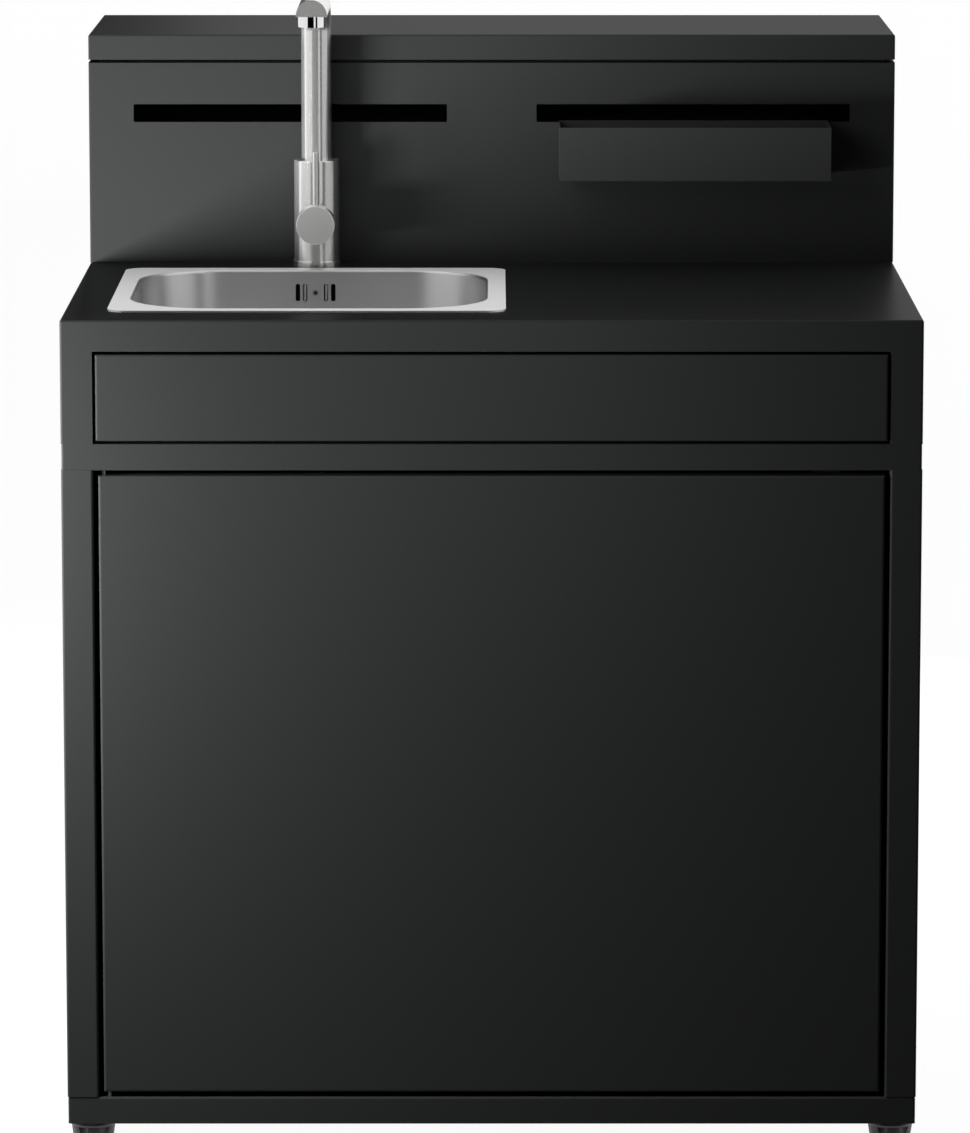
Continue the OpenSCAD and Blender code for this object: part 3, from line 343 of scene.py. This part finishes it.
def supply_hose(node, side):
    """Braided hose from the tap's shank down and back to its inlet: the source's route, in mm."""
    radius, step = 0.005, 0.004
    top = (SINK_X + 6.0 * side, 84.5, 897.0)
    inlet = (SINK_X + 60.0 * side, 300.0, 600.0)
    bend = [(top[0], top[1], top[2] - 57.0),
            (top[0] + 25.0 * side, top[1], top[2] - 300.0),
            (inlet[0], inlet[1] - 170.0, inlet[2]),
            (inlet[0], inlet[1] - 12.0, inlet[2])]
    path = evenly(in_metres([top] + bezier(bend, 60) + [inlet]), step)
    hose = tube(f"{node}_braided", path, [radius] * len(path), 20, BRAID, "hose_braid")
    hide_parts(node)


def ribbed_hose():
    """Overflow hose, plain at both ends: the source's route, in mm."""
    low, high, pitch, plain = 0.009, 0.011, 0.004, 0.006
    start, turn, end = (SINK_X, 35.0, 838.0), (SINK_X, 35.0, 766.0), (SINK_X, -90.2, 712.0)
    bend = [turn,
            (turn[0], turn[1], turn[2] - 45.0),
            (end[0], end[1] + 85.0, end[2]),
            (end[0], end[1] + 6.0, end[2])]
    path = evenly(in_metres([start] + bezier(bend, 120) + [end]), pitch / 4.0)
    total = lengths_along(path)[-1]
    radii = []
    for i in range(len(path)):
        at = total * i / (len(path) - 1)
        rib = 0.5 - 0.5 * math.cos(2.0 * math.pi * at / pitch)
        radii.append(low + (high - low) * rib * (plain < at < total - plain))
    hose = tube("overflow_hose_ribbed", path, radii, 24, GREY_PLASTIC, "plastic_grey")
    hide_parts("overflow_hose")


supply_hose("cold_hose", -1.0)
supply_hose("hot_hose", 1.0)
ribbed_hose()


# Overflow fittings behind the slots in the bowl's back wall

OVERFLOW_X, OVERFLOW_Z = SINK_X / 1000.0, 0.867


def prism(loop, y0, y1):
    """Vertices and faces of a closed prism: loop is a list of (x, z) points, drawn along y."""
    n = len(loop)
    verts = [(x, y, z) for y in (y0, y1) for x, z in loop]
    faces = [(k, (k + 1) % n, n + (k + 1) % n, n + k) for k in range(n)]
    faces += [tuple(range(n - 1, -1, -1)), tuple(range(n, 2 * n))]
    return verts, faces


def overflow_liner():
    """Black rubber liner of the housing: roof and sides, open at the front and over the hose's port."""
    lo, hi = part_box("overflow_housing")
    skin, wall, depth, high, play = 0.0026, 0.0012, 0.0185, 0.026, 0.0004
    x0, x1, z1 = lo[0] + skin, hi[0] - skin, hi[2] - skin
    z0 = z1 - high
    y0 = lo[1] + play
    outline = [(x0, z0), (x0, z1), (x1, z1), (x1, z0),
               (x1 - wall, z0), (x1 - wall, z1 - wall), (x0 + wall, z1 - wall), (x0 + wall, z0)]
    new_piece("overflow_liner", *prism(outline, y0, y0 + depth), RUBBER, "rubber_black", smooth=False)
    back = [(x0, z0), (x0, z1), (x1, z1), (x1, z0)]
    new_piece("overflow_liner_back", *prism(back, y0 + depth, y0 + depth + wall), RUBBER, "rubber_black",
              smooth=False)


def screw_bridge():
    """Bright legs of the bridge that takes the overflow's screw, seen through the two inner slots."""
    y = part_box("overflow_housing")[0][1] + 0.0034
    sides, radius, leg_x = 24, 0.0027, 0.0116
    half, chamfer = 0.0125, 0.0005
    heights = (-half, chamfer - half, half - chamfer, half)
    radii = (radius - chamfer, radius, radius, radius - chamfer)
    for k, side in enumerate((-1.0, 1.0)):
        path = [Vector((OVERFLOW_X + side * leg_x, y, OVERFLOW_Z + z)) for z in heights]
        tube(f"overflow_bridge_{k}", path, radii, sides, PLAIN, "stainless_plain")


def screw_socket():
    """Hexagon socket of the overflow's screw, as a black inlay that is just proud of the head: painted shade
    for the dark of the socket's hollow.
    """
    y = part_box("overflow_screw")[0][1]
    radius, proud, sunk = 0.0024, 0.0001, 0.0006
    turns = [math.pi * k / 3.0 for k in range(6)]
    loop = [(OVERFLOW_X + radius * math.cos(a), OVERFLOW_Z + radius * math.sin(a)) for a in turns]
    new_piece("overflow_socket_painted_shade", *prism(loop, y - proud, y + sunk), RUBBER, "rubber_black", smooth=False)


overflow_liner()
screw_bridge()
screw_socket()


# Foam strips that close the slit between the side panels and the rounded edge of the base tray

def tray_seals():
    """A strip along each side panel, in front of the back panel and behind it."""
    wide, high, sheet, stile_return = 0.003, 0.0015, 0.0015, 0.022
    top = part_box("base_tray")[1][2]
    lo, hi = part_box("side_panel_left")
    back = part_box("back_panel")
    inner = lo[0] + sheet
    runs = {"front": (lo[1] + stile_return, back[0][1]), "rear": (back[1][1], hi[1] - sheet)}
    for side, x in (("left", inner), ("right", -inner - wide)):
        loop = [(x, top), (x, top + high), (x + wide, top + high), (x + wide, top)]
        for run, (y0, y1) in runs.items():
            new_piece(f"tray_seal_{side}_{run}", *prism(loop, y0, y1), RUBBER, "rubber_black", smooth=False)


tray_seals()


# Threads of the two water inlets

def inlet_threads():
    """Rings one pitch apart stand for the thread of each inlet, with four steps to a pitch."""
    lo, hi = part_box("water_inlets")
    radius, root, crest, pitch = 0.0132, 0.00002, 0.0004, 0.0018
    inlet_z, half_wide = 0.6, 0.0182
    start, end = hi[1] - 0.0152, hi[1] - 0.0006
    steps = round((end - start) / (pitch / 4.0))
    radii = [radius + (crest if i % 4 == 2 else root) for i in range(steps + 1)]
    for name, x in (("cold", lo[0] + half_wide), ("hot", hi[0] - half_wide)):
        path = [Vector((x, start + (end - start) * i / steps, inlet_z)) for i in range(steps + 1)]
        tube(f"{name}_inlet_thread", path, radii, 32, BRASS, "brass")


inlet_threads()


# Folded and cut edges

def round_edges(names, width):
    """A small round on each sharp edge of these nodes."""
    for name in names:
        bevel = nodes[name].modifiers.new("edge", "BEVEL")
        bevel.width = width
        bevel.segments = 2
        bevel.limit_method = "ANGLE"
        bevel.angle_limit = math.radians(50.0)
        bevel.harden_normals = True


SHEETS = ["base_tray", "side_panel_left", "side_panel_right", "mid_frame", "worktop_module", "front_panel",
          "backsplash_shell", "lid", "hanging_box", "door_panel"]
round_edges(SHEETS, 0.0005)
round_edges(["sink_bowl"], 0.0004)


# Stage and light

def stage_plane(name, corners, mat):
    mesh = bpy.data.meshes.new(name)
    mesh.from_pydata(corners, [], [(0, 1, 2, 3)])
    obj = bpy.data.objects.new(name, mesh)
    scene.collection.objects.link(obj)
    mesh.materials.append(mat)
    return obj


def seen_rays(tree):
    """Output that is 1 on rays that show the background: camera, glossy and transmission rays."""
    path = tree.nodes.new("ShaderNodeLightPath")
    seen = path.outputs["Is Camera Ray"]
    for other in ("Is Glossy Ray", "Is Transmission Ray"):
        top = tree.nodes.new("ShaderNodeMath")
        top.operation = "MAXIMUM"
        tree.links.new(seen, top.inputs[0])
        tree.links.new(path.outputs[other], top.inputs[1])
        seen = top.outputs["Value"]
    return seen


def floor_material():
    """Grey floor that takes the shadow, and looks white on the rays that show the background."""
    m = Mat("floor", Base_Color=(0.15, 0.15, 0.15), Roughness=0.9, Specular_IOR_Level=0.1)
    m.bump(m.noise(scale=4.0), "Fac", strength=0.02, distance=0.001)
    glow = m.add("ShaderNodeEmission", Color=(1.0, 1.0, 1.0, 1.0), Strength=0.95)
    both = m.add("ShaderNodeAddShader")
    m.link(m.shader, "BSDF", both, 0)
    m.link(glow, "Emission", both, 1)
    pick = m.add("ShaderNodeMixShader")
    m.tree.links.new(seen_rays(m.tree), pick.inputs[0])
    m.link(m.shader, "BSDF", pick, 1)
    m.link(both, "Shader", pick, 2)
    m.link(pick, "Shader", m.tree.nodes["Material Output"], "Surface")
    return m.mat


def cloth_material():
    m = Mat("cloth", Base_Color=(0.01, 0.01, 0.01), Roughness=1.0, Specular_IOR_Level=0.0)
    m.bump(m.noise(scale=4.0), "Fac", strength=0.02, distance=0.001)
    return m.mat


def make_world():
    """White where it is seen, and a faint fill on every other ray."""
    fill, white = 0.065, 1.0
    world = bpy.data.worlds.new("studio")
    world.use_nodes = True
    tree = world.node_tree
    background = tree.nodes["Background"]
    background.inputs["Color"].default_value = (1.0, 1.0, 1.0, 1.0)
    seen = seen_rays(tree)
    level = tree.nodes.new("ShaderNodeMapRange")
    level.inputs["To Min"].default_value = fill
    level.inputs["To Max"].default_value = white
    tree.links.new(seen, level.inputs["Value"])
    tree.links.new(level.outputs["Result"], background.inputs["Strength"])
    scene.world = world


def softbox(name, place, aim, wide, high, power):
    """Soft lamp that no reflection shows: the steel mirrors the white world and the cloths instead."""
    light = bpy.data.lights.new(name, "AREA")
    light.shape = "RECTANGLE"
    light.size, light.size_y = wide, high
    light.energy = power
    obj = bpy.data.objects.new(name, light)
    scene.collection.objects.link(obj)
    obj.location = place
    obj.rotation_euler = (Vector(aim) - Vector(place)).to_track_quat("-Z", "Y").to_euler()
    obj.visible_glossy = False
    return light


def level_corners(half_x, y0, y1, z):
    return [(-half_x, y0, z), (half_x, y0, z), (half_x, y1, z), (-half_x, y1, z)]


def upright_corners(x0, x1, y, z1):
    return [(x0, y, 0.0), (x1, y, 0.0), (x1, y, z1), (x0, y, z1)]


def dress_stage():
    """White floor, and black cloths in front of the unit and behind it on the left, for reflections alone."""
    far, wall_z = 9.0, 10.0
    stage_plane("floor", level_corners(half_x=40.0, y0=-40.0, y1=60.0, z=0.0), floor_material())
    cloths = {
        "floor_cloth": level_corners(half_x=far, y0=-far, y1=-0.42, z=0.004),
        "wall_cloth_0": upright_corners(x0=-5.6, x1=2.6, y=-far, z1=wall_z),
        "wall_cloth_1": upright_corners(x0=5.2, x1=far, y=-far, z1=wall_z),
        "rear_cloth": upright_corners(x0=-far, x1=-0.8, y=far, z1=5.0),
    }
    black = cloth_material()
    for name, corners in cloths.items():
        obj = stage_plane(name, corners, black)
        obj.visible_camera = False
        obj.visible_diffuse = False
        obj.visible_shadow = False


dress_stage()
make_world()
softbox("key", (-0.996, -0.569, 0.738), (0.004, -0.219, 0.738), wide=0.416, high=0.294, power=44.5)
softbox("front", (-0.05, -0.85, 0.86), (-0.05, 0.0, 0.86), wide=0.40, high=0.06, power=1.0)
upper = softbox("upper", (-0.34, -0.545, 1.359), (0.06, 0.455, 1.359), wide=0.70, high=0.455, power=1.8)
upper.spread = math.radians(110.0)
softbox("rear", (0.9, 2.4, 0.85), (0.0, 0.35, 0.75), wide=1.0, high=0.4, power=32.0)

scene.view_settings.view_transform = "Standard"
